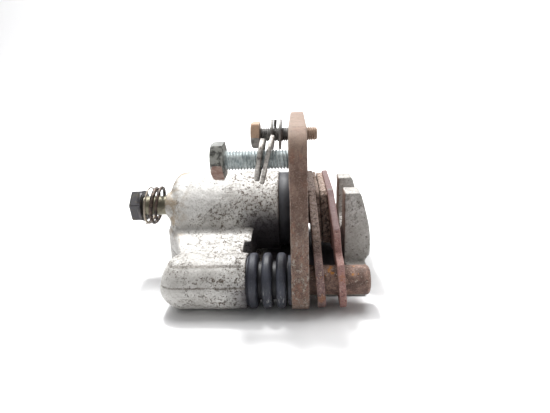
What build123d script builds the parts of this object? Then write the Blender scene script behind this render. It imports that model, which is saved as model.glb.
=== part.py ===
from build123d import *
import os
from math import cos, radians, sin

# Floating disc-brake caliper on its bracket, millimetres.
# +X runs outboard along the piston axis, +Z is up, and the assembly is symmetric about Y = 0 apart
# from its hydraulic ports. The origin is on the resting surface, under the middle of the assembly.
# Every x below is measured from the bracket plate's mounting face, which stands at face_x.

# ---- driving dimensions
face_x = 24.2

plate_thickness = 9.0
plate_top = 91.5
plate_corner_radius = 14.0
plate_corner_y = 44.0
machined_step = 0.3  # the mounting face stands proud of the rest of the plate's inboard side
machined_from_z = 64.0
ear_radius = 14.5
window_radius = 26.0
window_foot_radius = 6.0
window_foot_y = 36.0
window_foot_z = 14.0
# the bridge runs through a slot under the window: its width and twice its height
window_sill = (104.0, 16.0)

pin_y = 55.0
pin_z = 14.5
pin_radius = 7.5
pin_x = (-48.0, 39.7)
pin_chamfer = 1.2

bolt_y = 48.0
bolt_z = 76.0
bolt_radius = 5.0
bolt_length = 40.0
bolt_tip_chamfer = 0.9
bolt_hole_chamfer = 0.8
bolt_head_x = {"near": -31.0, "far": -21.5}  # underside of each bolt's head
hex_across_flats = 17.0
bolt_head_height = 6.4
hex_chamfer = 0.6
hex_turn = 5.5

washer_hole_radius = 5.8
washer_radius = 10.6
wide_washer_radius = 12.2
washer_sink = 0.15  # a loose washer hangs from the thread
lock_washer_thickness = 2.4
lock_washer_gap = 1.6
flat_washer_thickness = 2.0
lock_washer_places = {"near": (-13.9, 10.8), "far": (-12.6, 5.0)}  # x and tilt
flat_washer_places = {"near": (-10.4, 14.2, wide_washer_radius), "far": (-7.4, 2.5, washer_radius)}

bore_z = 36.0
bore_radius = 19.0
bore_floor_x = -58.0
housing_radius = 24.0
housing_mouth_x = -6.8
housing_shoulder_x = -65.0
housing_end_x = -73.0
housing_end_radius = 10.0
seal_x = -20.0
seal_width = 3.6
seal_depth = 2.4

boss_radius = 14.0
boss_face_x = -22.0
boss_shoulder_x = -57.0
boss_end_x = -66.0
boss_end_radius = 5.0
boss_bore_floor_x = -58.5
bushing_radius = 9.5
bushing_length = 24.0
running_clearance = 0.05

# plan of the web that joins the bosses to the housing, and its roof's fall from the housing to the bosses
web_plan = [(-73.0, 0.0), (-73.0, 12.0), (-64.0, 30.0), (-60.0, 46.0), (-57.0, 52.0)]  # x, y
web_plan += [(-25.5, 52.0), (-25.5, 36.0), (-21.9, 36.0), (-21.9, 0.0)]
web_z = (3.0, 31.4)
web_roof = [(23.0, 31.4), (60.0, 24.5)]  # y, z

bridge_half_width = 46.0
bridge_edge_height = 2.6
bridge_crown_height = 13.2
bridge_x = (-56.0, 40.0)

prong_face_x = 30.0
prong_outer_y = 26.0
prong_slot_radius = 12.0
finger_heel = [(30.0, 0.0), (40.0, 0.0), (41.5, 4.0), (42.4, 12.4), (44.9, 16.0)]  # x, z up the outboard side
finger_back = [(44.9, 16.0), (45.1, 22.0), (43.6, 35.0), (41.8, 42.5), (39.4, 50.6)]
finger_tip = [(38.2, 52.2), (30.0, 52.2)]
heel_half_width = 34.0
heel_outline = [(30.0, 0.0), (40.0, 0.0), (41.5, 4.0), (42.0, 12.6), (30.0, 12.6)]

piston_radius = bore_radius - running_clearance
piston_x = (-38.0, 9.3)
piston_cup_radius = 14.0
piston_cup_depth = 40.0
piston_groove_x = 5.0  # the dust boot's lip sits in this groove
piston_groove_width = 2.4
piston_groove_depth = 1.2
piston_chamfer = 0.8

dust_boot_x = (housing_mouth_x, 4.0)
dust_boot_radii = (19.4, 22.7)
dust_boot_lip = 1.2

pin_boot_x = (boss_face_x, machined_step)
pin_boot_hole_radius = 7.7
pin_boot_valley_radius = 11.6
pin_boot_rib_radius = 14.1
pin_boot_collar_radius = 12.8
pin_boot_ribs = (-19.0, -11.9, -4.7)
pin_boot_rib_half_width = 2.4
pin_boot_rib_shoulder = 0.8
pin_boot_valley_half_width = 0.5
pin_boot_collar_length = 1.2

inlet_y = -14.0
inlet_z = 43.5
inlet_radius = 5.7
inlet_head_x = (-93.5, -86.8)
inlet_flange_radius = 9.2
inlet_flange_thickness = 1.4
inlet_depth = 9.0
inlet_spotface_radius = 7.8
inlet_hex_turn = 43.3
coil_radius = 10.9
coil_wire_radius = 0.75
coil_x = (-85.4, -74.4)
coil_turns = 3.0

bleed_x = -52.0
bleed_z = 43.0
bleed_seat_y = 20.0
bleed_top_y = 38.0
bleed_thread_radius = 4.0
bleed_hex_across_flats = 10.0
bleed_hex_y = (25.4, 30.4)
bleed_nipple_radius = 2.9
bleed_cap_y = (31.2, 40.5)
bleed_cap_radius = 5.0
bleed_cap_fillet = 1.5
bleed_drain_radius = 1.0
drilling_radius = 2.0
bleed_boss_radius = 7.5
bleed_boss_y = 25.2

pad_hole_radius = 8.4
backing_arch_z = 17.0
backing_arch_end = (42.0, 25.0)
# backing plate from the end of its arch, round the ear, to the crown: y, z
backing_edge = [backing_arch_end, (43.2, 12.0), (47.4, 6.0), (47.4, 1.5), (60.5, 1.5), (66.0, 7.0)]
backing_edge += [(66.0, 27.0), (54.8, 30.0), (54.0, 41.0), (30.0, 51.5), (26.0, 54.3), (0.0, 54.3)]
backing_edge_radius = 1.2
inner_backing_x = 12.5
inner_tilt = 4.0
inner_backing_thickness = 4.2
inner_friction_thickness = 2.0
outer_backing_x = 23.4
outer_tilt = 4.6
outer_backing_thickness = 3.6
outer_wear_x = 19.05  # the outer pad has worn parallel to the inner pad's face
outer_friction_depth = 5.0
friction_half_width = 26.0
friction_top_z = 53.6
friction_side_z = 23.4
friction_arch_z = 19.5
friction_corner = 2.0

sides = {"near": -1, "far": 1}

os.makedirs("parts", exist_ok=True)


# ---- shared helpers
def across(x):
    """Plane square to the piston axis, at x from the mounting face. Its own axes are Y and Z."""
    return Plane.YZ.offset(face_x + x)


def side_on(y):
    """Plane along the piston axis, at y. Its own axes are x, from the mounting face, and Z."""
    return Plane(origin=(face_x, y, 0), x_dir=(1, 0, 0), z_dir=(0, -1, 0))


def leaning(x, tilt):
    """Plane through a pad at pin height, with its top leaning inboard by tilt degrees."""
    normal = (cos(radians(tilt)), 0, sin(radians(tilt)))
    return Plane(origin=(face_x + x, 0, pin_z), x_dir=(0, 1, 0), z_dir=normal)


def save(part, name):
    """Label a finished piece and write its STEP file."""
    part.label = name
    export_step(part, f"parts/{name}.step")


def hex_bolt(y, z, head_x, head_height, thread_radius, length, turn):
    """Hex bolt lying along X, with its head on the inboard side of head_x."""
    with BuildPart() as bolt:
        with BuildSketch(across(head_x)):
            with Locations((y, z)):
                RegularPolygon(hex_across_flats / 2, 6, major_radius=False, rotation=turn)
        extrude(amount=-head_height)
        chamfer(bolt.faces().sort_by(Axis.X)[0].edges(), length=hex_chamfer)
        with BuildSketch(across(head_x)):
            with Locations((y, z)):
                Circle(thread_radius)
        extrude(amount=length)
        chamfer(bolt.faces().sort_by(Axis.X)[-1].edges(), length=bolt_tip_chamfer)
    return bolt.part


def loose_washer(y, x, tilt, radius, thickness, split_gap):
    """Washer hanging on a mounting bolt, its top leaning outboard by tilt degrees. A gap splits it on top."""
    normal = (cos(radians(tilt)), 0, -sin(radians(tilt)))
    middle = Plane(origin=(face_x + x, y, bolt_z - washer_sink), x_dir=(0, 1, 0), z_dir=normal)
    with BuildPart() as washer:
        with BuildSketch(middle):
            Circle(radius)
            Circle(washer_hole_radius, mode=Mode.SUBTRACT)
            if split_gap:
                with Locations((0, radius)):
                    Rectangle(split_gap, radius, mode=Mode.SUBTRACT)
        extrude(amount=thickness / 2, both=True)
    return washer.part


def backing_face():
    """Outline of a pad's backing plate, from pin height: an ear round each guide pin, a crown between."""
    arch_y, arch_side_z = backing_arch_end
    edge_points = [(y, z - pin_z) for y, z in backing_edge]
    with BuildSketch() as face:
        with BuildLine():
            ThreePointArc(
                (-arch_y, arch_side_z - pin_z), (0, backing_arch_z - pin_z), (arch_y, arch_side_z - pin_z)
            )
            edge = FilletPolyline(*edge_points, radius=backing_edge_radius)
            mirror(edge, about=Plane.YZ)
        make_face()
        with Locations((pin_y, 0), (-pin_y, 0)):
            Circle(pad_hole_radius, mode=Mode.SUBTRACT)
    return face.sketch


def friction_face():
    """Outline of a friction block, from pin height: chamfered top corners, lower edge along the rim."""
    shoulder_y = friction_half_width - friction_corner
    side_z = friction_side_z - pin_z
    top_z = friction_top_z - pin_z
    with BuildSketch() as face:
        with BuildLine():
            Polyline(
                (friction_half_width, side_z),
                (friction_half_width, top_z - friction_corner),
                (shoulder_y, top_z),
                (-shoulder_y, top_z),
                (-friction_half_width, top_z - friction_corner),
                (-friction_half_width, side_z),
            )
            ThreePointArc(
                (-friction_half_width, side_z), (0, friction_arch_z - pin_z), (friction_half_width, side_z)
            )
        make_face()
    return face.sketch


# ---- bracket: plate, guide pins, mounting bolts and their washers
with BuildPart() as bracket_plate:
    with BuildSketch(across(machined_step)) as plate_outline:
        with Locations((pin_y, pin_z), (-pin_y, pin_z)):
            Circle(ear_radius)
        with Locations(
            (plate_corner_y, plate_top - plate_corner_radius),
            (-plate_corner_y, plate_top - plate_corner_radius),
        ):
            Circle(plate_corner_radius)
        make_hull()
        with BuildSketch(mode=Mode.SUBTRACT):
            with Locations((0, bore_z)):
                Circle(window_radius)
            with Locations((window_foot_y, window_foot_z), (-window_foot_y, window_foot_z)):
                Circle(window_foot_radius)
            make_hull()
        Rectangle(*window_sill, mode=Mode.SUBTRACT)
        Rectangle(2 * (window_foot_y + window_foot_radius), 2 * window_foot_z, mode=Mode.SUBTRACT)
        with Locations((pin_y, pin_z), (-pin_y, pin_z)):
            Circle(ear_radius)
    extrude(amount=plate_thickness - machined_step)
    with BuildSketch(across(0)):
        add(plate_outline.sketch_local)
        with Locations((0, machined_from_z / 2)):
            Rectangle(2 * (pin_y + ear_radius), machined_from_z, mode=Mode.SUBTRACT)
    extrude(amount=machined_step)
    with BuildSketch(across(plate_thickness)):
        with Locations((bolt_y, bolt_z), (-bolt_y, bolt_z)):
            Circle(bolt_radius)
        with Locations((pin_y, pin_z), (-pin_y, pin_z)):
            Circle(pin_radius)
    extrude(amount=-plate_thickness, mode=Mode.SUBTRACT)
    with BuildSketch(across(0)):
        with Locations((bolt_y, bolt_z), (-bolt_y, bolt_z)):
            Circle(bolt_radius + bolt_hole_chamfer)
    extrude(amount=bolt_hole_chamfer, taper=45, mode=Mode.SUBTRACT)
save(bracket_plate.part, "bracket_plate")

for side, sign in sides.items():
    with BuildPart() as guide_pin:
        with BuildSketch(across(pin_x[0])):
            with Locations((sign * pin_y, pin_z)):
                Circle(pin_radius)
        extrude(amount=pin_x[1] - pin_x[0])
        chamfer(guide_pin.edges().filter_by(GeomType.CIRCLE), length=pin_chamfer)
    save(guide_pin.part, f"guide_pin_{side}")

    bolt = hex_bolt(
        sign * bolt_y, bolt_z, bolt_head_x[side], bolt_head_height, bolt_radius, bolt_length, hex_turn
    )
    save(bolt, f"bracket_bolt_{side}")

    x, tilt = lock_washer_places[side]
    lock_washer = loose_washer(sign * bolt_y, x, tilt, washer_radius, lock_washer_thickness, lock_washer_gap)
    save(lock_washer, f"lock_washer_{side}")
    x, tilt, radius = flat_washer_places[side]
    flat_washer = loose_washer(sign * bolt_y, x, tilt, radius, flat_washer_thickness, 0)
    save(flat_washer, f"flat_washer_{side}")

# ---- floating casting: cylinder housing, pin bosses, bridge and forked finger
with BuildPart() as caliper_body:
    with BuildSketch(Plane.XY.offset(web_z[0])):
        with BuildLine():
            half_plan = Polyline(*[(face_x + x, y) for x, y in web_plan])
            mirror(half_plan, about=Plane.XZ)
        make_face()
    extrude(amount=web_z[1] - web_z[0])
    with BuildSketch(across(housing_end_x)):
        with BuildLine():
            Polyline(*web_roof, (web_roof[1][0], web_roof[0][1]), close=True)
        make_face()
        mirror(about=Plane.YZ)
    extrude(amount=housing_mouth_x - housing_end_x, mode=Mode.SUBTRACT)
    with BuildSketch(side_on(0)):
        with BuildLine():
            Polyline(
                (housing_end_x, bore_z + housing_end_radius),
                (housing_end_x, bore_z),
                (housing_mouth_x, bore_z),
                (housing_mouth_x, bore_z + housing_radius),
                (housing_shoulder_x, bore_z + housing_radius),
            )
            EllipticalCenterArc(
                (housing_shoulder_x, bore_z + housing_end_radius),
                housing_shoulder_x - housing_end_x,
                housing_radius - housing_end_radius,
                start_angle=90,
                arc_size=90,
            )
        make_face()
    revolve(axis=Axis((0, 0, bore_z), (1, 0, 0)))
    for sign in sides.values():
        with BuildSketch(side_on(sign * pin_y)):
            with BuildLine():
                Polyline(
                    (boss_end_x, pin_z + boss_end_radius),
                    (boss_end_x, pin_z),
                    (boss_face_x, pin_z),
                    (boss_face_x, pin_z + boss_radius),
                    (boss_shoulder_x, pin_z + boss_radius),
                )
                EllipticalCenterArc(
                    (boss_shoulder_x, pin_z + boss_end_radius),
                    boss_shoulder_x - boss_end_x,
                    boss_radius - boss_end_radius,
                    start_angle=90,
                    arc_size=90,
                )
            make_face()
        revolve(axis=Axis((0, sign * pin_y, pin_z), (1, 0, 0)))
    with BuildSketch(across(bridge_x[0])):
        with BuildLine():
            Polyline(
                (-bridge_half_width, bridge_edge_height),
                (-bridge_half_width, 0),
                (bridge_half_width, 0),
                (bridge_half_width, bridge_edge_height),
            )
            ThreePointArc(
                (bridge_half_width, bridge_edge_height),
                (0, bridge_crown_height),
                (-bridge_half_width, bridge_edge_height),
            )
        make_face()
    extrude(amount=bridge_x[1] - bridge_x[0])
    with BuildSketch(side_on(heel_half_width)):
        with BuildLine():
            Polyline(*heel_outline, close=True)
        make_face()
    extrude(amount=2 * heel_half_width)
    with BuildSketch(side_on(prong_outer_y)):
        with BuildLine():
            Polyline(*finger_heel)
            Spline(*finger_back)
            Polyline(finger_back[-1], *finger_tip, finger_heel[0])
        make_face()
    extrude(amount=2 * prong_outer_y)
    with BuildSketch(across(prong_face_x)):
        with Locations((0, bore_z)):
            Circle(prong_slot_radius)
        with Locations((0, bore_z + plate_top / 2)):
            Rectangle(2 * prong_slot_radius, plate_top)
    extrude(amount=plate_top, mode=Mode.SUBTRACT)
    with BuildSketch(across(housing_end_x)):
        with Locations((inlet_y, inlet_z)):
            Circle(inlet_spotface_radius)
    extrude(amount=housing_shoulder_x - housing_end_x)
    with BuildSketch(side_on(bleed_boss_y)):
        with Locations((bleed_x, bleed_z)):
            Circle(bleed_boss_radius)
    extrude(amount=bleed_boss_y - bore_radius)
    # machined bores: cylinder, seal groove, guide bores, inlet and bleed ports
    with BuildSketch(across(bore_floor_x)):
        with Locations((0, bore_z)):
            Circle(bore_radius)
    extrude(amount=housing_mouth_x - bore_floor_x, mode=Mode.SUBTRACT)
    with BuildSketch(across(seal_x - seal_width / 2)):
        with Locations((0, bore_z)):
            Circle(bore_radius + seal_depth)
    extrude(amount=seal_width, mode=Mode.SUBTRACT)
    with BuildSketch(across(boss_bore_floor_x)):
        with Locations((pin_y, pin_z), (-pin_y, pin_z)):
            Circle(bushing_radius)
    extrude(amount=boss_face_x - boss_bore_floor_x, mode=Mode.SUBTRACT)
    for port_radius, port_depth in (
        (inlet_radius, inlet_depth),
        (drilling_radius, bore_floor_x - housing_end_x),
    ):
        with BuildSketch(across(housing_end_x)):
            with Locations((inlet_y, inlet_z)):
                Circle(port_radius)
        extrude(amount=port_depth, mode=Mode.SUBTRACT)
    for port_radius, port_depth in (
        (bleed_thread_radius + running_clearance, bleed_boss_y - bleed_seat_y),
        (drilling_radius, bleed_boss_y),
    ):
        with BuildSketch(side_on(bleed_boss_y)):
            with Locations((bleed_x, bleed_z)):
                Circle(port_radius)
        extrude(amount=port_depth, mode=Mode.SUBTRACT)
save(caliper_body.part, "caliper_body")

with BuildPart() as piston_seal:
    with BuildSketch(across(seal_x - seal_width / 2)):
        with Locations((0, bore_z)):
            Circle(bore_radius + seal_depth)
            Circle(bore_radius, mode=Mode.SUBTRACT)
    extrude(amount=seal_width)
save(piston_seal.part, "piston_seal")

for side, sign in sides.items():
    with BuildPart() as pin_bushing:
        with BuildSketch(across(boss_face_x - bushing_length)):
            with Locations((sign * pin_y, pin_z)):
                Circle(bushing_radius)
                Circle(pin_radius + running_clearance, mode=Mode.SUBTRACT)
        extrude(amount=bushing_length)
    save(pin_bushing.part, f"pin_bushing_{side}")

    with BuildPart() as pin_boot:
        with BuildSketch(side_on(sign * pin_y)):
            with BuildLine():
                outside = [(pin_boot_x[0], pin_boot_collar_radius)]
                for rib_x in pin_boot_ribs:
                    rib_start = rib_x - pin_boot_rib_half_width
                    outside.append((rib_start - pin_boot_valley_half_width, pin_boot_valley_radius))
                    outside.append((rib_start, pin_boot_rib_radius - pin_boot_rib_shoulder))
                    outside.append((rib_x, pin_boot_rib_radius))
                    rib_end = rib_x + pin_boot_rib_half_width
                    outside.append((rib_end, pin_boot_rib_radius - pin_boot_rib_shoulder))
                outside.append((pin_boot_x[1] - pin_boot_collar_length, pin_boot_valley_radius))
                outside.append((pin_boot_x[1], pin_boot_collar_radius))
                wall = [(x, pin_z + radius) for x, radius in outside]
                hole = [(x, pin_z + pin_boot_hole_radius) for x in reversed(pin_boot_x)]
                Polyline(*wall, *hole, close=True)
            make_face()
        revolve(axis=Axis((0, sign * pin_y, pin_z), (1, 0, 0)))
    save(pin_boot.part, f"pin_boot_{side}")

# ---- hydraulics on the casting: inlet bolt with its loose coil, bleed screw with its cap
with BuildPart() as inlet_bolt:
    with BuildSketch(across(inlet_head_x[0])):
        with Locations((inlet_y, inlet_z)):
            RegularPolygon(hex_across_flats / 2, 6, major_radius=False, rotation=inlet_hex_turn)
    extrude(amount=inlet_head_x[1] - inlet_head_x[0])
    chamfer(inlet_bolt.faces().sort_by(Axis.X)[0].edges(), length=hex_chamfer)
    with BuildSketch(across(inlet_head_x[1] - inlet_flange_thickness)):
        with Locations((inlet_y, inlet_z)):
            Circle(inlet_flange_radius)
    extrude(amount=inlet_flange_thickness)
    with BuildSketch(across(inlet_head_x[1])):
        with Locations((inlet_y, inlet_z)):
            Circle(inlet_radius)
    extrude(amount=housing_end_x + inlet_depth - inlet_head_x[1])
    with BuildSketch(across(housing_end_x + inlet_depth)):
        with Locations((inlet_y, inlet_z)):
            Circle(drilling_radius)
    extrude(amount=inlet_head_x[1] - housing_end_x - inlet_depth, mode=Mode.SUBTRACT)
save(inlet_bolt.part, "inlet_bolt")

with BuildPart() as inlet_coil:
    coil_length = coil_x[1] - coil_x[0]
    with BuildLine():
        coil_path = Helix(
            pitch=coil_length / coil_turns,
            height=coil_length,
            radius=coil_radius,
            center=(face_x + coil_x[0], inlet_y, inlet_z),
            direction=(1, 0, 0),
        )
    with BuildSketch(Plane(origin=coil_path @ 0, z_dir=coil_path % 0)):
        Circle(coil_wire_radius)
    sweep(path=coil_path, is_frenet=True)
save(inlet_coil.part, "inlet_coil")

with BuildPart() as bleed_screw:
    for (start, end), radius in (
        ((bleed_seat_y + running_clearance, bleed_hex_y[0]), bleed_thread_radius),
        ((bleed_hex_y[1], bleed_top_y), bleed_nipple_radius),
    ):
        with BuildSketch(side_on(end)):
            with Locations((bleed_x, bleed_z)):
                Circle(radius)
        extrude(amount=end - start)
    with BuildSketch(side_on(bleed_hex_y[1])):
        with Locations((bleed_x, bleed_z)):
            RegularPolygon(bleed_hex_across_flats / 2, 6, major_radius=False)
    extrude(amount=bleed_hex_y[1] - bleed_hex_y[0])
    with BuildSketch(side_on(bleed_top_y)):
        with Locations((bleed_x, bleed_z)):
            Circle(bleed_drain_radius)
    extrude(amount=bleed_top_y - bleed_hex_y[0], mode=Mode.SUBTRACT)
save(bleed_screw.part, "bleed_screw")

with BuildPart() as bleed_cap:
    with BuildSketch(side_on(bleed_cap_y[1])):
        with Locations((bleed_x, bleed_z)):
            Circle(bleed_cap_radius)
    extrude(amount=bleed_cap_y[1] - bleed_cap_y[0])
    fillet(bleed_cap.faces().sort_by(Axis.Y)[-1].edges(), radius=bleed_cap_fillet)
    with BuildSketch(side_on(bleed_top_y)):
        with Locations((bleed_x, bleed_z)):
            Circle(bleed_nipple_radius)
    extrude(amount=bleed_top_y - bleed_cap_y[0], mode=Mode.SUBTRACT)
save(bleed_cap.part, "bleed_cap")

# ---- piston and its dust boot
with BuildPart() as piston:
    with BuildSketch(across(piston_x[0])):
        with Locations((0, bore_z)):
            Circle(piston_radius)
    extrude(amount=piston_x[1] - piston_x[0])
    chamfer(piston.edges().filter_by(GeomType.CIRCLE), length=piston_chamfer)
    with BuildSketch(across(piston_x[1])):
        with Locations((0, bore_z)):
            Circle(piston_cup_radius)
    extrude(amount=-piston_cup_depth, mode=Mode.SUBTRACT)
    with BuildSketch(across(piston_groove_x)):
        with Locations((0, bore_z)):
            Circle(bore_radius)
            Circle(piston_radius - piston_groove_depth, mode=Mode.SUBTRACT)
    extrude(amount=piston_groove_width / 2, both=True, mode=Mode.SUBTRACT)
save(piston.part, "piston")

with BuildPart() as dust_boot:
    with BuildSketch(side_on(0)):
        with BuildLine():
            inner_radius, outer_radius = dust_boot_radii
            Polyline(
                (dust_boot_x[0], bore_z + outer_radius),
                (dust_boot_x[1] - dust_boot_lip, bore_z + outer_radius),
                (dust_boot_x[1], bore_z + outer_radius - dust_boot_lip),
                (dust_boot_x[1], bore_z + inner_radius),
                (dust_boot_x[0], bore_z + inner_radius),
                close=True,
            )
        make_face()
    revolve(axis=Axis((0, 0, bore_z), (1, 0, 0)))
save(dust_boot.part, "dust_boot")

# ---- brake pads, each a steel backing plate with its friction block
with BuildPart() as inner_backing_plate:
    with BuildSketch(leaning(inner_backing_x, inner_tilt)):
        add(backing_face())
    extrude(amount=inner_backing_thickness)
save(inner_backing_plate.part, "inner_backing_plate")

with BuildPart() as inner_friction:
    with BuildSketch(leaning(inner_backing_x, inner_tilt).offset(inner_backing_thickness)):
        add(friction_face())
    extrude(amount=inner_friction_thickness)
save(inner_friction.part, "inner_friction")

with BuildPart() as outer_backing_plate:
    with BuildSketch(leaning(outer_backing_x, outer_tilt)):
        add(backing_face())
    extrude(amount=outer_backing_thickness)
save(outer_backing_plate.part, "outer_backing_plate")

with BuildPart() as outer_friction:
    with BuildSketch(leaning(outer_backing_x, outer_tilt)):
        add(friction_face())
    extrude(amount=-outer_friction_depth)
    split(bisect_by=leaning(outer_wear_x, inner_tilt), keep=Keep.TOP)
save(outer_friction.part, "outer_friction")
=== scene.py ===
import math

import bmesh
import bpy
import numpy as np
from mathutils import Matrix, Vector


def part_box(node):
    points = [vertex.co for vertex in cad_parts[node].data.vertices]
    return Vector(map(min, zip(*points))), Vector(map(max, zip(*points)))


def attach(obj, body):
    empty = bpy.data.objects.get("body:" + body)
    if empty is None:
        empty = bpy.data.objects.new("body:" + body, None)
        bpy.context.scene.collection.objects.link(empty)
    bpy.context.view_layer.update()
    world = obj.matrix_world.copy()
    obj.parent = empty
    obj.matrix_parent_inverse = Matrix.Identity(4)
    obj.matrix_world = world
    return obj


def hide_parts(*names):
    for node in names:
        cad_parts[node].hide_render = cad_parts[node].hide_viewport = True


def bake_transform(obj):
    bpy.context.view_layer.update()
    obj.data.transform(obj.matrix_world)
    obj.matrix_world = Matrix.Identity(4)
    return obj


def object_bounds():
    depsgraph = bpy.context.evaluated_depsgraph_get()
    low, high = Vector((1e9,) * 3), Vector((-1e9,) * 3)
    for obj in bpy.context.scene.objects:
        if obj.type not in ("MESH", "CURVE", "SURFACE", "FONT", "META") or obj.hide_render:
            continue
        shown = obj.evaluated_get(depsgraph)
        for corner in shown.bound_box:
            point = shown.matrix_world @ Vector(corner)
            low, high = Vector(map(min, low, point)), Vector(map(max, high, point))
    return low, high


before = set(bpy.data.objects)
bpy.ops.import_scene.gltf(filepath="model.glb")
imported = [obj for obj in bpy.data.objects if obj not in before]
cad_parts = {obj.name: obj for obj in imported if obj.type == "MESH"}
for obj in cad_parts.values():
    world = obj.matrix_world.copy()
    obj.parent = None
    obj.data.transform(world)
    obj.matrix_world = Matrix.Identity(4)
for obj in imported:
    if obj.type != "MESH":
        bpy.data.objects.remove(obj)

# Everything is in metres, in the row frame: +X outboard along the piston axis, +Y away, +Z up.
MM = 0.001
cad_low, cad_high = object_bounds()

face_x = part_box("bracket_plate")[0].x  # the plate's mounting face


def at(mm):
    """x of a place so many millimetres outboard of the plate's mounting face."""
    return face_x + mm * MM


# ---------------------------------------------------------------- small helpers
def centre(node):
    """Middle of a CAD node's box."""
    low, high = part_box(node)
    return (low + high) / 2


def fade(t):
    return t * t * t * (t * (t * 6 - 15) + 10)


def lumps(points, size, seed=0):
    """Smooth noise between about -1 and 1 at each point, with lumps of the given size in metres."""
    p = points / size + seed * 17.31
    cell = np.floor(p).astype(np.int64)
    f = fade(p - cell)
    total = np.zeros(len(p))
    for corner in range(8):
        step = np.array([corner & 1, corner >> 1 & 1, corner >> 2 & 1])
        c = cell + step
        h = (c[:, 0] * 73856093) ^ (c[:, 1] * 19349663) ^ (c[:, 2] * 83492791) ^ (seed * 2654435761)
        h = (h ^ (h >> 13)) * 1274126177 & 0x7FFFFFFF
        value = (h % 100003) / 50001.5 - 1
        weight = np.prod(np.where(step == 1, f, 1 - f), axis=1)
        total += value * weight
    return total


def mesh_points(mesh):
    points = np.empty(len(mesh.vertices) * 3)
    mesh.vertices.foreach_get("co", points)
    return points.reshape(-1, 3)


def mesh_normals(mesh):
    normals = np.empty(len(mesh.vertices) * 3)
    mesh.vertices.foreach_get("normal", normals)
    return normals.reshape(-1, 3)


def set_points(mesh, points):
    mesh.vertices.foreach_set("co", points.ravel())
    mesh.update()


def smooth_shade(mesh):
    mesh.polygons.foreach_set("use_smooth", [True] * len(mesh.polygons))


def piece(name, mesh, material, body, slot, *nodes):
    """A finished piece on its body, or on none if it bends, with the CAD nodes that it stands for.

    Points that roughening or smoothing has pushed past the CAD model's box are brought back to it.
    """
    set_points(mesh, np.clip(mesh_points(mesh), np.array(cad_low), np.array(cad_high)))
    obj = bpy.data.objects.new(name, mesh)
    bpy.context.scene.collection.objects.link(obj)
    mesh.materials.clear()
    mesh.materials.append(material)
    if body:
        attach(obj, body)
    if nodes:
        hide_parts(*nodes)
    return obj


def remeshed(node, voxel, rounds):
    """A CAD node's shape as an even mesh, with its edges rounded by smoothing."""
    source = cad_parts[node]
    copy = bpy.data.objects.new(node + "_work", source.data.copy())
    bpy.context.scene.collection.objects.link(copy)
    remesh = copy.modifiers.new("Remesh", "REMESH")
    remesh.mode = "VOXEL"
    remesh.voxel_size = voxel * 1
    smooth = copy.modifiers.new("Smooth", "SMOOTH")
    smooth.factor = 0.5
    smooth.iterations = rounds
    bpy.context.view_layer.update()
    made = bpy.data.meshes.new_from_object(copy.evaluated_get(bpy.context.evaluated_depsgraph_get()))
    bpy.data.objects.remove(copy)
    made.name = node + "_surface"
    smooth_shade(made)
    return made


def roughen(mesh, layers, mask=None):
    """Move each point along its normal by layered noise: (size, depth) pairs in metres."""
    points = mesh_points(mesh)
    normals = mesh_normals(mesh)
    height = np.zeros(len(points))
    for index, (size, depth) in enumerate(layers):
        height += depth * lumps(points, size, index + 1)
    if mask is not None:
        height = mask(points, normals, height)
    set_points(mesh, points + normals * height[:, None])


def grid_mesh(name, rows, closed_rows=False):
    """Mesh over a grid of points, each row a closed ring. Its ends are capped, or joined if closed_rows."""
    rows = np.array(rows)
    count, around = rows.shape[:2]
    faces = []
    for i in range(count if closed_rows else count - 1):
        for j in range(around):
            k = (j + 1) % around
            n = (i + 1) % count
            faces.append((i * around + j, i * around + k, n * around + k, n * around + j))
    if not closed_rows:
        faces.append(tuple(reversed(range(around))))
        faces.append(tuple((count - 1) * around + j for j in range(around)))
    mesh = bpy.data.meshes.new(name)
    mesh.from_pydata([tuple(p) for p in rows.reshape(-1, 3)], [], faces)
    bm = bmesh.new()
    bm.from_mesh(mesh)
    bmesh.ops.recalc_face_normals(bm, faces=bm.faces)
    bm.to_mesh(mesh)
    bm.free()
    smooth_shade(mesh)
    return mesh


def lathe(name, axis_yz, profile, around):
    """Turned shape about an axis along X at (y, z): profile is a closed ring of (x, radius) pairs."""
    y, z = axis_yz
    turns = np.linspace(0, 2 * math.pi, around, endpoint=False)
    rows = [[(x, y + r * math.cos(a), z + r * math.sin(a)) for a in turns] for x, r in profile]
    return grid_mesh(name, rows, closed_rows=True)


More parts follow.
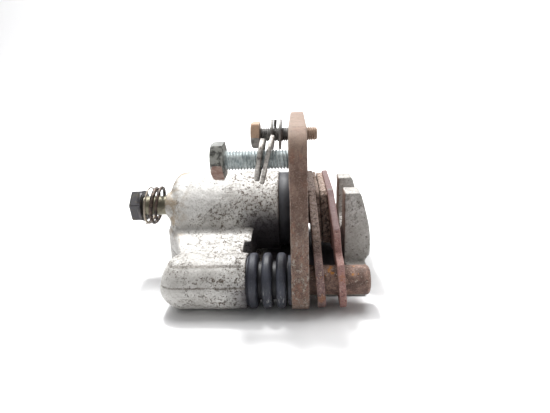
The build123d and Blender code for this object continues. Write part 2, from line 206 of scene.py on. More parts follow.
# ---------------------------------------------------------------- materials
class Surface:
    """Node material under construction. Sizes are in metres, in object space."""

    def __init__(self, name, metallic=0.0):
        self.material = bpy.data.materials.new(name)
        self.material.use_nodes = True
        self.tree = self.material.node_tree
        self.shader = self.tree.nodes["Principled BSDF"]
        self.shader.inputs["Metallic"].default_value = metallic
        self.place = self.tree.nodes.new("ShaderNodeTexCoord").outputs["Object"]

    def link(self, value, socket):
        if isinstance(value, bpy.types.NodeSocket):
            self.tree.links.new(value, socket)
        elif isinstance(value, tuple) and len(value) == 3 and socket.type == "RGBA":
            socket.default_value = (*value, 1)
        else:
            socket.default_value = value

    def stretched(self, scale):
        node = self.tree.nodes.new("ShaderNodeMapping")
        node.inputs["Scale"].default_value = scale
        self.tree.links.new(self.place, node.inputs["Vector"])
        return node.outputs["Vector"]

    def noise(self, size, detail=4, roughness=0.6, stretch=None):
        node = self.tree.nodes.new("ShaderNodeTexNoise")
        node.inputs["Scale"].default_value = 1 / size
        node.inputs["Detail"].default_value = detail
        node.inputs["Roughness"].default_value = roughness
        self.tree.links.new(self.stretched(stretch) if stretch else self.place, node.inputs["Vector"])
        return node.outputs["Fac"]

    def cells(self, size):
        node = self.tree.nodes.new("ShaderNodeTexVoronoi")
        node.inputs["Scale"].default_value = 1 / size
        self.tree.links.new(self.place, node.inputs["Vector"])
        return node.outputs["Distance"]

    def along(self, axis, low, high):
        """0 to 1 as the position along an axis goes from low to high."""
        split = self.tree.nodes.new("ShaderNodeSeparateXYZ")
        self.tree.links.new(self.place, split.inputs[0])
        return self.ramp(split.outputs["XYZ".index(axis)], low, high)

    def band(self, axis, start, full, end, full_end):
        """0 outside start to end along an axis, 1 between full and full_end."""
        return self.times(self.along(axis, start, full), self.along(axis, end, full_end))

    def facing(self, axis, low, high):
        """0 to 1 as the surface normal's part along an axis goes from low to high."""
        geometry = self.tree.nodes.new("ShaderNodeTexCoord")
        split = self.tree.nodes.new("ShaderNodeSeparateXYZ")
        self.tree.links.new(geometry.outputs["Normal"], split.inputs[0])
        return self.ramp(split.outputs["XYZ".index(axis)], low, high)

    def ramp(self, value, low, high, out_low=0.0, out_high=1.0):
        node = self.tree.nodes.new("ShaderNodeMapRange")
        node.interpolation_type = "SMOOTHSTEP"
        node.inputs["From Min"].default_value = low
        node.inputs["From Max"].default_value = high
        node.inputs["To Min"].default_value = out_low
        node.inputs["To Max"].default_value = out_high
        self.link(value, node.inputs["Value"])
        return node.outputs["Result"]

    def math(self, operation, a, b=0.0):
        node = self.tree.nodes.new("ShaderNodeMath")
        node.operation = operation
        self.link(a, node.inputs[0])
        self.link(b, node.inputs[1])
        return node.outputs[0]

    def times(self, a, b):
        return self.math("MULTIPLY", a, b)

    def mix(self, low, high, amount):
        node = self.tree.nodes.new("ShaderNodeMix")
        node.data_type = "RGBA"
        self.link(amount, node.inputs[0])
        self.link(low, node.inputs[6])
        self.link(high, node.inputs[7])
        return node.outputs[2]

    def worn_edges(self, low=0.52, high=0.62):
        """0 to 1 on convex edges."""
        geometry = self.tree.nodes.new("ShaderNodeNewGeometry")
        return self.ramp(geometry.outputs["Pointiness"], low, high)

    def bump(self, height, depth):
        node = self.tree.nodes.new("ShaderNodeBump")
        node.inputs["Distance"].default_value = depth
        node.inputs["Strength"].default_value = 1.0
        self.link(height, node.inputs["Height"])
        return node.outputs["Normal"]

    def finish(self, colour, roughness, normal=None, metallic=None):
        self.link(colour, self.shader.inputs["Base Color"])
        self.link(roughness, self.shader.inputs["Roughness"])
        if metallic is not None:
            self.link(metallic, self.shader.inputs["Metallic"])
        if normal is not None:
            self.tree.links.new(normal, self.shader.inputs["Normal"])
        return self.material


def cast_aluminium():
    s = Surface("cast_aluminium", metallic=0.15)
    broad = s.noise(18 * MM, 3)
    fine = s.noise(1.1 * MM, 5, 0.7)
    grain = s.noise(0.5 * MM, 3, 0.6)
    colour = s.mix((0.47, 0.455, 0.43), (0.66, 0.65, 0.625), s.ramp(broad, 0.36, 0.62))
    colour = s.mix(colour, (0.40, 0.385, 0.36), s.ramp(fine, 0.48, 0.68, 0, 0.6))
    colour = s.mix(colour, (0.33, 0.31, 0.28), s.ramp(grain, 0.54, 0.66, 0, 0.45))
    # yellow-brown stain at the inboard end, round the inlet
    stain = s.times(s.ramp(s.noise(6 * MM, 5, 0.65), 0.46, 0.62), s.along("X", at(-56), at(-68)))
    stain = s.times(stain, s.along("Z", 22 * MM, 32 * MM))
    colour = s.mix(colour, (0.30, 0.22, 0.13), s.times(stain, 0.75))
    # corrosion pits, crowded towards the open end of the cylinder, along the shelf and over the boss
    crowd = s.ramp(s.noise(11 * MM, 3, 0.6), 0.36, 0.62)
    outboard = s.band("X", at(-50), at(-24), at(-4), at(-10))
    crowd = s.math("ADD", s.times(crowd, 0.55), s.times(outboard, 0.55))
    blots = s.noise(1.9 * MM, 5, 0.8)
    pits = s.times(s.ramp(blots, 0.560, 0.600), s.ramp(crowd, 0.25, 0.75))
    specks = s.times(s.ramp(s.noise(0.85 * MM, 2, 0.6), 0.60, 0.66), s.ramp(crowd, 0.10, 0.6, 0.25, 1))
    dots = s.math("MAXIMUM", pits, specks)
    halo = s.times(s.ramp(blots, 0.50, 0.57), s.ramp(crowd, 0.30, 0.8))
    colour = s.mix(colour, (0.31, 0.26, 0.20), s.times(halo, 0.55))
    colour = s.mix(colour, (0.080, 0.055, 0.038), s.times(dots, 0.85))
    # the finger is greyer, with pale blotches that grow towards its top as a painted highlight, and brown
    # dust on the side that faces the pads
    finger = s.along("X", at(18), at(26))
    colour = s.mix(colour, (0.33, 0.31, 0.28), s.times(finger, s.ramp(fine, 0.35, 0.6, 0.35, 0.75)))
    # pale blotches: mottled tone, made stronger higher up as a painted highlight on the finger's top
    blotch_and_top_sheen = s.times(finger, s.ramp(s.noise(3.5 * MM, 5, 0.7), 0.52, 0.62))
    blotch_and_top_sheen = s.times(blotch_and_top_sheen, s.ramp(s.along("Z", 24 * MM, 44 * MM), 0, 1, 0.25, 0.8))
    colour = s.mix(colour, (0.60, 0.59, 0.565), blotch_and_top_sheen)
    pocks = s.times(finger, s.ramp(s.noise(1.6 * MM, 4, 0.7), 0.60, 0.65))
    colour = s.mix(colour, (0.10, 0.085, 0.070), s.times(pocks, 0.8))
    dusty = s.times(finger, s.facing("X", -0.35, -0.85))
    colour = s.mix(colour, (0.19, 0.125, 0.088), s.times(dusty, 0.85))
    # painted shade, with some grime, under the cylinder next to the boots and low in the throat
    shade_under_cylinder = s.times(s.along("X", at(-36), at(-19)), s.along("Z", 50 * MM, 33 * MM))
    shade_under_cylinder = s.times(s.times(shade_under_cylinder, s.along("X", at(12), at(-2))), s.facing("Z", 0.55, 0.1))
    throat = s.band("X", at(-20), at(-12), at(31), at(29.2))
    throat = s.times(throat, s.along("Z", 3.2 * MM, 6.5 * MM))
    throat = s.times(throat, s.along("Z", 32 * MM, 26 * MM))
    # both masks paint the shade there nearly black
    colour = s.mix(colour, (0.046, 0.040, 0.050), s.times(s.math("MAXIMUM", shade_under_cylinder, throat), 0.94))
    # painted shade along the mould's parting line on the bosses, where its step is too fine for the mesh to
    # shade
    # a dark band painted above the parting line as shade
    line = s.band("Z", 16.3 * MM, 16.8 * MM, 17.8 * MM, 17.2 * MM)
    line = s.times(line, s.times(s.along("X", at(-18), at(-23)), s.ramp(fine, 0.35, 0.55, 0.3, 1)))
    colour = s.mix(colour, (0.13, 0.11, 0.09), s.times(line, 0.8))
    # painted shade in the crease along the top of the near boss, where the web meets it
    crease_shade = s.band("Z", 25.2 * MM, 25.8 * MM, 26.8 * MM, 26.2 * MM)
    crease_shade = s.times(crease_shade, s.times(s.along("Y", -46 * MM, -49 * MM), s.along("X", at(-23.5), at(-25))))
    colour = s.mix(colour, (0.20, 0.18, 0.155), s.times(crease_shade, s.ramp(fine, 0.3, 0.6, 0.35, 0.9)))
    roughness = s.ramp(fine, 0.3, 0.7, 0.45, 0.65)
    height = s.math("ADD", s.times(fine, 0.7), s.times(grain, 0.4))
    normal = s.bump(s.math("SUBTRACT", height, s.times(dots, 1.4)), 0.34 * MM)
    return s.finish(colour, roughness, normal)


def rusted_plate():
    s = Surface("rusted_plate", metallic=0.1)
    broad = s.noise(12 * MM, 4, 0.6)
    streak = s.noise(3 * MM, 5, 0.7, stretch=(1, 1, 0.4))
    grain = s.noise(0.8 * MM, 5, 0.75)
    grit = s.noise(0.55 * MM, 2, 0.6)
    colour = s.mix((0.150, 0.090, 0.066), (0.270, 0.178, 0.140), s.ramp(broad, 0.35, 0.65))
    colour = s.mix(colour, (0.26, 0.105, 0.060), s.ramp(s.noise(9 * MM, 4, 0.6), 0.50, 0.66, 0, 0.5))
    colour = s.mix(colour, (0.085, 0.050, 0.038), s.ramp(streak, 0.48, 0.68, 0, 0.7))
    colour = s.mix(colour, (0.36, 0.27, 0.22), s.times(s.ramp(grain, 0.52, 0.62), 0.55))
    colour = s.mix(colour, (0.060, 0.036, 0.028), s.times(s.ramp(grit, 0.56, 0.64), 0.55))
    low = s.along("Z", 62 * MM, 22 * MM)
    flakes = s.times(s.ramp(s.noise(1.5 * MM, 4, 0.75, stretch=(1, 1, 0.6)), 0.53, 0.58), low)
    colour = s.mix(colour, (0.47, 0.41, 0.35), s.times(flakes, 0.75))
    crust = s.times(s.ramp(s.noise(1.1 * MM, 3, 0.7), 0.56, 0.61), low)
    colour = s.mix(colour, (0.055, 0.034, 0.026), s.times(crust, 0.65))
    top = s.along("Z", 74 * MM, 88 * MM)
    colour = s.mix(colour, (0.27, 0.195, 0.145), s.times(top, s.ramp(streak, 0.3, 0.7, 0.8, 0.35)))
    bare_edges = s.times(s.worn_edges(0.52, 0.58), s.ramp(grain, 0.4, 0.6, 0.2, 0.8))
    colour = s.mix(colour, (0.62, 0.56, 0.50), bare_edges)
    height = s.math("ADD", s.times(grain, 0.6), s.math("ADD", s.times(flakes, 0.6), s.times(streak, 0.5)))
    return s.finish(colour, s.ramp(grain, 0.3, 0.7, 0.55, 0.8), s.bump(height, 0.32 * MM))


def painted_backing():
    s = Surface("painted_backing", metallic=0.05)
    broad = s.noise(9 * MM, 4, 0.6)
    fine = s.noise(0.9 * MM, 4, 0.7)
    outer = s.along("X", at(15.5), at(18.5))
    colour = s.mix((0.150, 0.092, 0.085), (0.300, 0.150, 0.130), outer)
    colour = s.mix(colour, (0.36, 0.215, 0.195), s.ramp(broad, 0.45, 0.68, 0, 0.6))
    colour = s.mix(colour, (0.080, 0.046, 0.042), s.ramp(fine, 0.53, 0.64, 0, 0.75))
    specks = s.ramp(s.noise(0.65 * MM, 2, 0.6), 0.61, 0.66)
    colour = s.mix(colour, (0.55, 0.42, 0.34), s.times(specks, 0.7))
    spots = s.times(s.ramp(s.noise(4 * MM, 3, 0.6), 0.60, 0.66), s.along("Z", 30 * MM, 20 * MM))
    colour = s.mix(colour, (0.36, 0.14, 0.04), s.times(spots, 0.45))
    # painted shade on the outer pad's upward-sloping faces above about 30 mm
    slope_shade = s.times(s.times(s.facing("Z", 0.35, 0.6), outer), s.along("Z", 30 * MM, 36 * MM))
    colour = s.mix(colour, (0.135, 0.085, 0.085), s.times(slope_shade, 0.8))
    cap = s.times(s.times(slope_shade, s.facing("Z", 0.93, 0.97)), s.along("Y", -22.5 * MM, -24.5 * MM))
    colour = s.mix(colour, (0.17, 0.155, 0.145), cap)
    crumbs = s.noise(1.6 * MM, 5, 0.75)
    rot = s.times(s.along("X", at(18.5), at(15.5)), s.along("Z", 26 * MM, 36 * MM))
    crumbly = s.mix((0.17, 0.115, 0.090), (0.40, 0.30, 0.25), s.ramp(crumbs, 0.38, 0.62))
    crumbly = s.mix(crumbly, (0.58, 0.48, 0.42), s.ramp(s.noise(0.8 * MM, 3, 0.7), 0.57, 0.63, 0, 0.8))
    crumbly = s.mix(crumbly, (0.055, 0.036, 0.030), s.ramp(s.noise(1.8 * MM, 4, 0.65), 0.54, 0.60, 0, 0.8))
    colour = s.mix(colour, crumbly, s.times(rot, 0.9))
    colour = s.mix(colour, (0.46, 0.31, 0.27), s.times(s.worn_edges(0.52, 0.58), 0.5))
    return s.finish(colour, s.ramp(fine, 0.3, 0.7, 0.5, 0.75), s.bump(fine, 0.35 * MM))


def crumbly_friction():
    s = Surface("crumbly_friction")
    crumbs = s.noise(1.7 * MM, 5, 0.75)
    grit = s.cells(1.0 * MM)
    colour = s.mix((0.30, 0.215, 0.17), (0.62, 0.49, 0.42), s.ramp(crumbs, 0.38, 0.62))
    colour = s.mix(colour, (0.74, 0.64, 0.57), s.ramp(s.noise(0.8 * MM, 3, 0.7), 0.58, 0.65, 0, 0.8))
    colour = s.mix(colour, (0.090, 0.062, 0.050), s.ramp(s.noise(1.9 * MM, 4, 0.65), 0.54, 0.60, 0, 0.7))
    height = s.math("ADD", s.times(crumbs, 1.0), s.times(grit, 0.6))
    return s.finish(colour, 0.9, s.bump(height, 0.6 * MM))


def rusted_pin():
    s = Surface("rusted_pin", metallic=0.1)
    broad = s.noise(6 * MM, 4, 0.6)
    fine = s.noise(0.8 * MM, 5, 0.7)
    colour = s.mix((0.115, 0.068, 0.052), (0.28, 0.175, 0.135), s.ramp(broad, 0.38, 0.62))
    colour = s.mix(colour, (0.055, 0.032, 0.026), s.ramp(fine, 0.50, 0.64, 0, 0.8))
    crust = s.times(s.ramp(s.noise(1.1 * MM, 4, 0.7), 0.58, 0.64), s.facing("Z", -0.2, 0.5))
    colour = s.mix(colour, (0.56, 0.46, 0.39), s.times(crust, 0.75))
    orange = s.times(s.ramp(s.noise(4.5 * MM, 3, 0.6), 0.58, 0.66), s.facing("Z", 0.0, 0.5))
    colour = s.mix(colour, (0.50, 0.20, 0.03), s.times(orange, 0.8))
    return s.finish(colour, s.ramp(fine, 0.3, 0.7, 0.5, 0.8), s.bump(fine, 0.4 * MM))


# middles of a pin boot's ribs, and the two valleys between them, in millimetres from the mounting face
boot_ribs = (-19.0, -11.9, -4.7)
boot_valleys = ((-16.2, -14.7), (-9.1, -7.5))


def boot_rubber():
    s = Surface("boot_rubber")
    broad = s.noise(8 * MM, 3, 0.6)
    fine = s.noise(0.4 * MM, 3, 0.6)
    colour = s.mix((0.022, 0.024, 0.034), (0.046, 0.050, 0.068), s.ramp(broad, 0.35, 0.65))
    scrapes = s.noise(1.5 * MM, 5, 0.75, stretch=(1.6, 1, 0.35))
    scuff = s.times(s.ramp(scrapes, 0.54, 0.62), s.along("Z", 19 * MM, 9 * MM))
    scuff = s.times(scuff, s.along("X", at(-15.5), at(-13.5)))
    colour = s.mix(colour, (0.42, 0.42, 0.41), s.times(scuff, 0.6))
    dust = s.ramp(s.noise(1.0 * MM, 3, 0.7), 0.60, 0.70, 0, 0.16)
    colour = s.mix(colour, (0.30, 0.28, 0.26), dust)
    # painted shade in the boot's valleys: hollows found by pointiness, and the two valley bands between the
    # ribs, are darkened
    geometry = s.tree.nodes.new("ShaderNodeNewGeometry")
    valley_shade = s.ramp(geometry.outputs["Pointiness"], 0.497, 0.470)
    for low, high in boot_valleys:
        valley = s.band("X", at(low - 0.6), at(low), at(high + 0.6), at(high))
        valley_shade = s.math("MAXIMUM", valley_shade, valley)
    colour = s.mix(colour, (0.005, 0.005, 0.007), s.times(valley_shade, 0.93))
    return s.finish(colour, s.ramp(broad, 0.3, 0.7, 0.48, 0.62), s.bump(fine, 0.06 * MM))


def seal_rubber():
    s = Surface("seal_rubber")
    broad = s.noise(9 * MM, 3, 0.6)
    colour = s.mix((0.020, 0.020, 0.025), (0.040, 0.041, 0.048), s.ramp(broad, 0.35, 0.65))
    return s.finish(colour, s.ramp(broad, 0.3, 0.7, 0.50, 0.62), s.bump(s.noise(0.4 * MM, 3, 0.6), 0.04 * MM))


def zinc_steel():
    """Dull zinc plate, mottled, rusting on the head's underside."""
    s = Surface("zinc_steel", metallic=0.5)
    patch = s.noise(2.4 * MM, 4, 0.7)
    fine = s.noise(0.5 * MM, 4, 0.7)
    head = s.along("X", at(-30), at(-31.2))
    shank = s.mix((0.33, 0.38, 0.39), (0.62, 0.66, 0.66), s.ramp(patch, 0.36, 0.60))
    block = s.mix((0.085, 0.085, 0.078), (0.34, 0.34, 0.31), s.ramp(patch, 0.40, 0.58))
    colour = s.mix(shank, block, head)
    top = s.times(s.facing("Z", 0.45, 0.75), head)
    upper = s.mix((0.10, 0.105, 0.095), (0.25, 0.255, 0.24), s.ramp(patch, 0.38, 0.6))
    colour = s.mix(colour, upper, s.times(top, 0.92))
    rust = s.times(s.times(s.facing("Z", -0.25, -0.6), head), s.ramp(fine, 0.3, 0.6, 0.95, 0.6))
    colour = s.mix(colour, (0.200, 0.085, 0.055), rust)
    colour = s.mix(colour, (0.11, 0.075, 0.055), s.ramp(fine, 0.57, 0.66, 0, 0.5))
    metallic = s.ramp(s.math("MAXIMUM", rust, top), 0, 1, 0.5, 0.0)
    return s.finish(colour, s.ramp(patch, 0.3, 0.7, 0.36, 0.6), s.bump(fine, 0.12 * MM), metallic)


def washer_steel():
    s = Surface("washer_steel", metallic=0.55)
    patch = s.noise(1.8 * MM, 4, 0.65)
    fine = s.noise(0.45 * MM, 3, 0.7)
    colour = s.mix((0.20, 0.185, 0.17), (0.50, 0.475, 0.44), s.ramp(patch, 0.36, 0.60))
    colour = s.mix(colour, (0.16, 0.085, 0.055), s.ramp(s.noise(1.2 * MM, 3, 0.6), 0.60, 0.68, 0, 0.7))
    return s.finish(colour, s.ramp(patch, 0.3, 0.7, 0.38, 0.58), s.bump(fine, 0.10 * MM))


def dark_steel():
    s = Surface("dark_steel", metallic=0.4)
    patch = s.noise(3 * MM, 4, 0.6)
    fine = s.noise(0.5 * MM, 3, 0.7)
    colour = s.mix((0.13, 0.125, 0.12), (0.30, 0.29, 0.28), s.ramp(patch, 0.35, 0.65))
    head = s.along("X", at(-20.8), at(-21.8))
    tops = s.times(s.times(s.facing("Z", -0.25, 0.2), head), s.ramp(patch, 0.3, 0.6, 0.7, 1))
    colour = s.mix(colour, (0.42, 0.27, 0.17), s.times(tops, 0.85))
    tip = s.along("X", at(7), at(10))
    colour = s.mix(colour, (0.46, 0.34, 0.26), s.times(tip, 0.85))
    colour = s.mix(colour, (0.07, 0.045, 0.035), s.ramp(fine, 0.56, 0.66, 0, 0.6))
    return s.finish(colour, s.ramp(patch, 0.3, 0.7, 0.45, 0.65), s.bump(fine, 0.10 * MM))


def black_oxide():
    s = Surface("black_oxide", metallic=0.5)
    patch = s.noise(2.5 * MM, 3, 0.6)
    head = s.along("X", at(-86.2), at(-86.6))
    colour = s.mix((0.20, 0.185, 0.135), (0.045, 0.043, 0.047), head)
    colour = s.mix(colour, (0.10, 0.085, 0.06), s.times(s.ramp(patch, 0.52, 0.68), 0.6))
    colour = s.mix(colour, (0.20, 0.20, 0.21), s.times(s.worn_edges(0.53, 0.6), s.times(head, 0.5)))
    metallic = s.ramp(head, 0, 1, 0.7, 0.3)
    return s.finish(colour, s.ramp(patch, 0.3, 0.7, 0.28, 0.45), s.bump(patch, 0.05 * MM), metallic)


def spring_wire():
    s = Surface("spring_wire", metallic=0.5)
    patch = s.noise(2.2 * MM, 3, 0.6)
    colour = s.mix((0.030, 0.022, 0.020), (0.12, 0.085, 0.065), s.ramp(patch, 0.40, 0.62))
    # painted light: the thin first turn is paler, as the bright background glows over it
    first_turn_glow = s.along("X", at(-81.5), at(-83.5))
    colour = s.mix(colour, (0.34, 0.29, 0.23), s.times(first_turn_glow, 0.8))
    return s.finish(colour, 0.45, s.bump(patch, 0.05 * MM))


def bright_steel(name, tint):
    s = Surface(name, metallic=0.9)
    fine = s.noise(0.8 * MM, 3, 0.6, stretch=(0.3, 1, 1))
    colour = s.mix(tuple(c * 0.6 for c in tint), tint, s.ramp(fine, 0.35, 0.65))
    return s.finish(colour, s.ramp(fine, 0.3, 0.7, 0.22, 0.38), s.bump(fine, 0.02 * MM))


casting_metal = cast_aluminium()
plate_rust = rusted_plate()
backing_paint = painted_backing()
friction_grit = crumbly_friction()
pin_rust = rusted_pin()
rubber = boot_rubber()
dust_rubber = seal_rubber()
zinc = zinc_steel()
dull = dark_steel()
washer_metal = washer_steel()
oxide = black_oxide()
wire = spring_wire()
piston_plating = bright_steel("piston_plating", (0.62, 0.62, 0.64))
sleeve_steel = bright_steel("sleeve_steel", (0.45, 0.43, 0.40))
bleed_zinc = bright_steel("bleed_zinc", (0.60, 0.55, 0.38))

for node, material in (
    ("piston", piston_plating),
    ("pin_bushing_near", sleeve_steel),
    ("pin_bushing_far", sleeve_steel),
    ("piston_seal", dust_rubber),
    ("bleed_screw", bleed_zinc),
    ("bleed_cap", dust_rubber),
):
    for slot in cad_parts[node].material_slots:
        slot.material = material


# ---------------------------------------------------------------- casting
def parting_ridge(points, _normals, height):
    """Keeps the sand-cast lumps, and adds the mould's parting line along each boss."""
    parting_z = 16.2 * MM
    outside = (np.abs(points[:, 1]) > 50 * MM) & (points[:, 0] < face_x - 22.6 * MM)
    step = 0.30 * MM / (1 + np.exp((points[:, 2] - parting_z) / (0.25 * MM)))
    return height + np.where(outside, step, 0)


def ease(value, low, high):
    t = np.clip((value - low) / (high - low), 0, 1)
    return t * t * (3 - 2 * t)


def mould_draft(mesh):
    """Leans the bosses' blind ends away from the parting line, and fills out the web's nose."""
    p = mesh_points(mesh)
    x = p[:, 0] - face_x
    boss = ease(-x, 54 * MM, 66 * MM) * ease(np.abs(p[:, 1]), 40 * MM, 47 * MM)
    above = ease(p[:, 2], 13 * MM, 28 * MM)
    below = ease(-p[:, 2], -11 * MM, -1 * MM)
    p[:, 0] += boss * (1.6 * above + 2.0 * below - 0.3) * MM
    nose = ease(-x, 58 * MM, 70 * MM) * ease(-np.abs(p[:, 1]), -38 * MM, -28 * MM)
    nose *= ease(-p[:, 2], -33 * MM, -26 * MM)
    p[:, 0] -= nose * 2.4 * MM
    set_points(mesh, p)


casting = remeshed("caliper_body", 0.7 * MM, 4)
mould_draft(casting)
roughen(casting, ((7 * MM, 0.16 * MM), (2.2 * MM, 0.08 * MM), (0.9 * MM, 0.06 * MM)), parting_ridge)
piece("casting", casting, casting_metal, "caliper", "cast_aluminium", "caliper_body")


# ---------------------------------------------------------------- bracket
def rust_scale(points, _normals, height):
    """Rust lifts in flat scabs, more towards the foot of the plate."""
    low = np.clip((55 * MM - points[:, 2]) / (35 * MM), 0.25, 1)
    return np.clip(height * low, -0.25 * MM, 0.02 * MM)


plate = remeshed("bracket_plate", 0.65 * MM, 3)
roughen(plate, ((5 * MM, 0.12 * MM), (1.6 * MM, 0.14 * MM), (0.8 * MM, 0.06 * MM)), rust_scale)
piece("plate", plate, plate_rust, "bracket", "bracket_steel", "bracket_plate")

for side in ("near", "far"):
    pin = remeshed("guide_pin_" + side, 0.5 * MM, 3)
    roughen(pin, ((3 * MM, 0.05 * MM), (1 * MM, 0.06 * MM)), lambda p, n, h: np.minimum(h, 0))
    piece("guide_pin_" + side + "_worn", pin, pin_rust, "bracket", "pin_steel", "guide_pin_" + side)


def thread_profile(phase):
    """Depth of a V thread, 0 at the crest and 1 at the root, over one pitch."""
    return np.clip(np.abs(phase % 1 - 0.5) * 2 * 1.25 - 0.12, 0, 1)


# both mounting bolts are M10 with a coarse thread; the head is turned a few degrees about its axis
crest_radius = 4.95 * MM
pitch = 1.5 * MM
flats = 17 * MM
hex_turn = 5.5


def hex_bolt(name, node, material, slot_name):
    """Hexagon bolt along X in its node's box: chamfered head, plain collar, rolled thread and pointed end."""
    low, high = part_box(node)
    head_height = 6.4 * MM
    y, z = centre(node).y, centre(node).z
    under_head = low.x + head_height
    around = 72
    turns = np.linspace(0, 2 * math.pi, around, endpoint=False)
    sector = (turns - math.radians(hex_turn)) % (math.pi / 3) - math.pi / 6
    hexagon = flats / 2 / np.cos(sector)
    rim = np.minimum(hexagon, flats / 2 * 1.13)
    chamfer = np.minimum(hexagon, flats / 2 * 0.97)
    rows = []

    def ring(x, radius):
        radius = np.broadcast_to(radius, (around,))
        rows.append([(x, y + r * math.cos(a), z + r * math.sin(a)) for a, r in zip(turns, radius)])

    ring(low.x + 0.35 * MM, 0.5 * MM)
    ring(low.x + 0.30 * MM, flats / 2 * 0.72)
    ring(low.x + 0.02 * MM, flats / 2 * 0.80)
    ring(low.x, flats / 2 * 0.92)
    ring(low.x + 0.08 * MM, chamfer)
    ring(low.x + 0.75 * MM, np.minimum(hexagon, flats / 2 * 1.09))
    ring(low.x + 1.3 * MM, rim)
    ring(low.x + 1.6 * MM, hexagon * 0.999)
    ring(under_head - 0.9 * MM, hexagon * 0.999)
    ring(under_head - 0.35 * MM, rim)
    ring(under_head - 0.30 * MM, chamfer)
    ring(under_head, flats / 2 * 0.93)
    ring(under_head, crest_radius + 0.3 * MM)
    ring(under_head + 0.3 * MM, crest_radius - 0.1 * MM)
    depth = 0.61 * pitch
    x = under_head + 0.6 * MM
    while x < high.x - 0.05 * MM:
        phase = (x - under_head) / pitch - turns / (2 * math.pi)
        tip = max(0, 1.1 * MM - (high.x - x))
        radius = crest_radius - depth * thread_profile(phase) - tip
        ring(x, np.minimum(radius, crest_radius - tip))
        x += pitch / 9
    ring(high.x, crest_radius - 1.35 * MM)
    ring(high.x, 0.5 * MM)
    mesh = grid_mesh(name, rows)
    obj = piece(name, mesh, material, "bracket", slot_name, node)
    edges = obj.modifiers.new("Edges", "EDGE_SPLIT")
    edges.split_angle = math.radians(38)
    return obj


hex_bolt("mounting_bolt_near", "bracket_bolt_near", zinc, "zinc_steel")
hex_bolt("mounting_bolt_far", "bracket_bolt_far", dull, "dull_steel")


def washer_ring(node, outer, hole, thickness, tilt_deg, rise, gap):
    """Washer hanging on a bolt, its top leaning outboard. Rise and gap part a lock washer's two ends."""
    middle = centre(node)
    tilt = math.radians(tilt_deg)
    lean = Vector((math.sin(tilt), 0, math.cos(tilt)))
    normal = Vector((math.cos(tilt), 0, -math.sin(tilt)))
    across = Vector((0, 1, 0))
    start = math.pi / 2 + gap / outer / 2
    sweep = 2 * math.pi - gap / outer
    steps = 120
    edge = 0.22 * thickness
    half = thickness / 2
    section = [
        (hole, -half + edge),
        (hole + edge, -half),
        (outer - edge, -half),
        (outer - 0.3 * edge, -half + 0.3 * edge),
        (outer, -half + edge),
        (outer, half - edge),
        (outer - 0.3 * edge, half - 0.3 * edge),
        (outer - edge, half),
        (hole + edge, half),
        (hole, half - edge),
    ]
    rows = []
    for i in range(steps + (0 if gap == 0 else 1)):
        t = i / steps
        angle = start + sweep * t
        out = across * math.cos(angle) + lean * math.sin(angle)
        base = middle + normal * rise * (t - 0.5)
        rows.append([tuple(base + out * radius + normal * off) for radius, off in section])
    mesh = grid_mesh(node + "_ring", rows, closed_rows=gap == 0)
    roughen(mesh, ((2 * MM, 0.05 * MM), (0.8 * MM, 0.03 * MM)))
    return mesh


for side, kind, outer, thickness, tilt_deg, rise, gap in (
    ("near", "lock", 10.6 * MM, 2.3 * MM, 10.8, 0.5 * MM, 1.5 * MM),
    ("near", "flat", 12.2 * MM, 1.9 * MM, 14.2, 0.0, 0.0),
    ("far", "lock", 10.6 * MM, 1.9 * MM, 5.0, 2.2 * MM, 1.5 * MM),
    ("far", "flat", 10.6 * MM, 1.7 * MM, 2.5, 0.0, 0.0),
):
    node = kind + "_washer_" + side
    mesh = washer_ring(node, outer, 5.8 * MM, thickness, tilt_deg, rise, gap)
    metal, slot = (washer_metal, "zinc_steel") if side == "near" else (dull, "dull_steel")
    obj = piece(node + "_ring", mesh, metal, "bracket", slot, node)
    edges = obj.modifiers.new("Edges", "EDGE_SPLIT")
    edges.split_angle = math.radians(50)


# ---------------------------------------------------------------- boots
def bellows_profile(low_x, high_x, rib_places, hole, valley, crest, collar):
    """Closed (x, radius) ring of a boot: a rounded rib at each place, a collar at each end, a thin wall."""
    rib_half_width = 2.65 * MM
    wall = 1.3 * MM
    outside = []
    steps = 130
    for i in range(steps + 1):
        x = low_x + (high_x - low_x) * i / steps
        off = min(abs(x - rib) for rib in rib_places) / rib_half_width
        radius = valley
        if off < 1:
            radius += (crest - valley) * math.sqrt(1 - off**4)
        if x > high_x - 1.7 * MM or x < low_x + 0.6 * MM:
            radius = max(radius, collar)
        outside.append((x, radius))
    inside = [(x, max(hole, radius - wall)) for x, radius in outside]
    return outside + inside[::-1]


for side in ("near", "far"):
    node = "pin_boot_" + side
    low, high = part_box(node)
    middle = centre(node)
    crest = (high.y - low.y) / 2
    ribs = [at(x) for x in boot_ribs]
    hole, valley, collar = crest - 6.3 * MM, crest - 4.4 * MM, crest - 1.5 * MM
    profile = bellows_profile(low.x, high.x, ribs, hole, valley, crest, collar)
    boot = lathe(node + "_bellows", (middle.y, middle.z), profile, 120)
    obj = piece(node + "_bellows", boot, rubber, None, "seal_rubber", node)
    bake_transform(obj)

low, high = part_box("dust_boot")
middle = centre("dust_boot")
crest = (high.y - low.y) / 2
dust_ring = [
    (low.x, crest - 3.2 * MM),
    (low.x, crest - 0.3 * MM),
    (low.x + 0.3 * MM, crest),
    (low.x + 6.5 * MM, crest),
    (low.x + 7.2 * MM, crest - 0.5 * MM),
    (low.x + 8.0 * MM, crest - 0.9 * MM),
    (low.x + 8.8 * MM, crest - 0.5 * MM),
    (high.x - 1.0 * MM, crest - 0.3 * MM),
    (high.x - 0.2 * MM, crest - 0.9 * MM),
    (high.x, crest - 1.6 * MM),
    (high.x, crest - 3.2 * MM),
]
dust = lathe("dust_boot_lip", (middle.y, middle.z), dust_ring, 128)
obj = piece("dust_boot_lip", dust, dust_rubber, None, "seal_rubber", "dust_boot")
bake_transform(obj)


# ---------------------------------------------------------------- hydraulics
inlet = remeshed("inlet_bolt", 0.35 * MM, 2)
piece("inlet_bolt_worn", inlet, oxide, "caliper", "black_steel", "inlet_bolt")


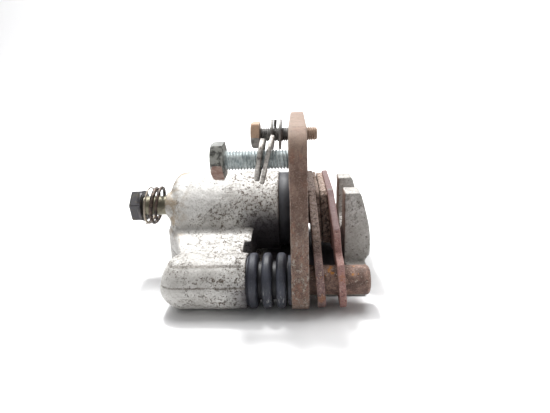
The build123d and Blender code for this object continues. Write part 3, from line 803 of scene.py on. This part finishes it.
def loose_coil():
    """Slack wire coil hanging on the inlet bolt. Its fine first turn stands apart, and all the turns lean."""
    low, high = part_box("inlet_coil")
    middle = centre("inlet_coil")
    radius = (high.y - low.y) / 2 - 0.8 * MM
    # how far along the bolt the wire is after each number of turns, and how thick it looks with its dirt
    turns_at = (0.0, 0.6, 1.0, 1.5, 2.0, 2.5, 2.9)
    x_at = (1.6, 1.2, 3.2, 4.6, 6.4, 8.0, 9.4)
    thick_at = (0.45, 0.42, 0.8, 1.25, 1.15, 0.95, 0.8)
    steps = 230
    around = 12
    path = []
    for i in range(steps + 1):
        turn = turns_at[-1] * i / steps
        angle = -math.pi / 2 - 0.3 + turn * 2 * math.pi
        x = low.x + np.interp(turn, turns_at, x_at) * MM
        lean = 1.9 * MM * math.sin(angle)
        r = radius * (0.955 + 0.045 * math.sin(2.3 * turn + 1))
        path.append(Vector((x + lean, middle.y + r * math.cos(angle), middle.z + r * math.sin(angle))))
    rows = []
    for i, p in enumerate(path):
        tangent = (path[min(i + 1, steps)] - path[max(i - 1, 0)]).normalized()
        out = (p - Vector((p.x, middle.y, middle.z))).normalized()
        side = tangent.cross(out).normalized()
        out = side.cross(tangent)
        wire_radius = np.interp(turns_at[-1] * i / steps, turns_at, thick_at) * MM
        ring = np.linspace(0, 2 * math.pi, around, endpoint=False)
        rows.append([tuple(p + (out * math.cos(a) + side * math.sin(a)) * wire_radius) for a in ring])
    return grid_mesh("loose_coil", rows)


piece("loose_coil", loose_coil(), wire, "caliper", "spring_steel", "inlet_coil")


# ---------------------------------------------------------------- pads
def crumble(_points, _normals, height):
    """The block only loses material."""
    return np.minimum(height, 0.0) * 1.3


for side, body in (("inner", "inner_pad"), ("outer", "outer_pad")):
    backing = remeshed(side + "_backing_plate", 0.55 * MM, 3)
    roughen(backing, ((4 * MM, 0.08 * MM), (1.2 * MM, 0.08 * MM)), lambda p, n, h: np.minimum(h, 0.02 * MM))
    piece(side + "_backing", backing, backing_paint, body, "backing_steel", side + "_backing_plate")
    block = remeshed(side + "_friction", 0.45 * MM, 2)
    roughen(block, ((3 * MM, 0.25 * MM), (1.3 * MM, 0.35 * MM), (0.7 * MM, 0.15 * MM)), crumble)
    piece(side + "_block", block, friction_grit, body, "friction_block", side + "_friction")


# ---------------------------------------------------------------- floor, light and camera
camera_place = Vector((at(4.2), -249.8 * MM, 113.3 * MM))
camera_yaw, camera_pitch, camera_roll = math.radians(3.29), math.radians(16.89), math.radians(1.93)
camera_lens = 27.4
lit_point = (0, 0, 30 * MM)


def stage_floor():
    """A pale sweep: flat under the part, rising behind it."""
    width, depth, rise = 3.0, 1.3, 1.6
    radius = 0.5
    section = [(-2.0, 0.0), (depth - radius, 0.0)]
    for i in range(1, 13):
        a = i / 12 * math.pi / 2
        section.append((depth - radius + radius * math.sin(a), radius - radius * math.cos(a)))
    section.append((depth, rise))
    points = [(x, y, z) for x in (-width, width) for y, z in section]
    count = len(section)
    faces = [(i, i + 1, count + i + 1, count + i) for i in range(count - 1)]
    mesh = bpy.data.meshes.new("floor")
    mesh.from_pydata(points, [], faces)
    smooth_shade(mesh)
    floor = bpy.data.objects.new("floor", mesh)
    bpy.context.scene.collection.objects.link(floor)
    s = Surface("pale_floor")
    mesh.materials.append(s.finish((0.86, 0.86, 0.865), 0.9))


def area_light(name, position, target, size, power):
    data = bpy.data.lights.new(name, "AREA")
    data.shape = "DISK"
    data.size = size
    data.energy = power
    light = bpy.data.objects.new(name, data)
    light.location = position
    light.rotation_euler = (Vector(target) - Vector(position)).to_track_quat("-Z", "Y").to_euler()
    bpy.context.scene.collection.objects.link(light)


stage_floor()
area_light("key", (-0.155, 0.33, 0.86), lit_point, 0.14, 8.5)
area_light("top", (-0.35, -0.25, 0.95), lit_point, 0.6, 1.2)
area_light("backdrop", (0, 0.5, 1.5), (0, 1.3, 0.35), 1.4, 32)

world = bpy.data.worlds.new("studio")
world.use_nodes = True
world.node_tree.nodes["Background"].inputs["Color"].default_value = (1, 1, 1, 1)
world.node_tree.nodes["Background"].inputs["Strength"].default_value = 0.28
bpy.context.scene.world = world
bpy.context.scene.view_settings.view_transform = "Standard"

camera_data = bpy.data.cameras.new("camera")
camera_data.sensor_width = 36
camera_data.lens = camera_lens
camera = bpy.data.objects.new("camera", camera_data)
bpy.context.scene.collection.objects.link(camera)
level = Vector((math.cos(camera_yaw), math.sin(camera_yaw), 0))
ahead = Vector((-math.sin(camera_yaw), math.cos(camera_yaw), 0))
forward = ahead * math.cos(camera_pitch) - Vector((0, 0, math.sin(camera_pitch)))
upward = level.cross(forward)
right = level * math.cos(camera_roll) - upward * math.sin(camera_roll)
upward = level * math.sin(camera_roll) + upward * math.cos(camera_roll)
camera.matrix_world = Matrix(
    (
        (right.x, upward.x, -forward.x, camera_place.x),
        (right.y, upward.y, -forward.y, camera_place.y),
        (right.z, upward.z, -forward.z, camera_place.z),
        (0, 0, 0, 1),
    )
)
camera_data.clip_start = 0.01
bpy.context.scene.camera = camera
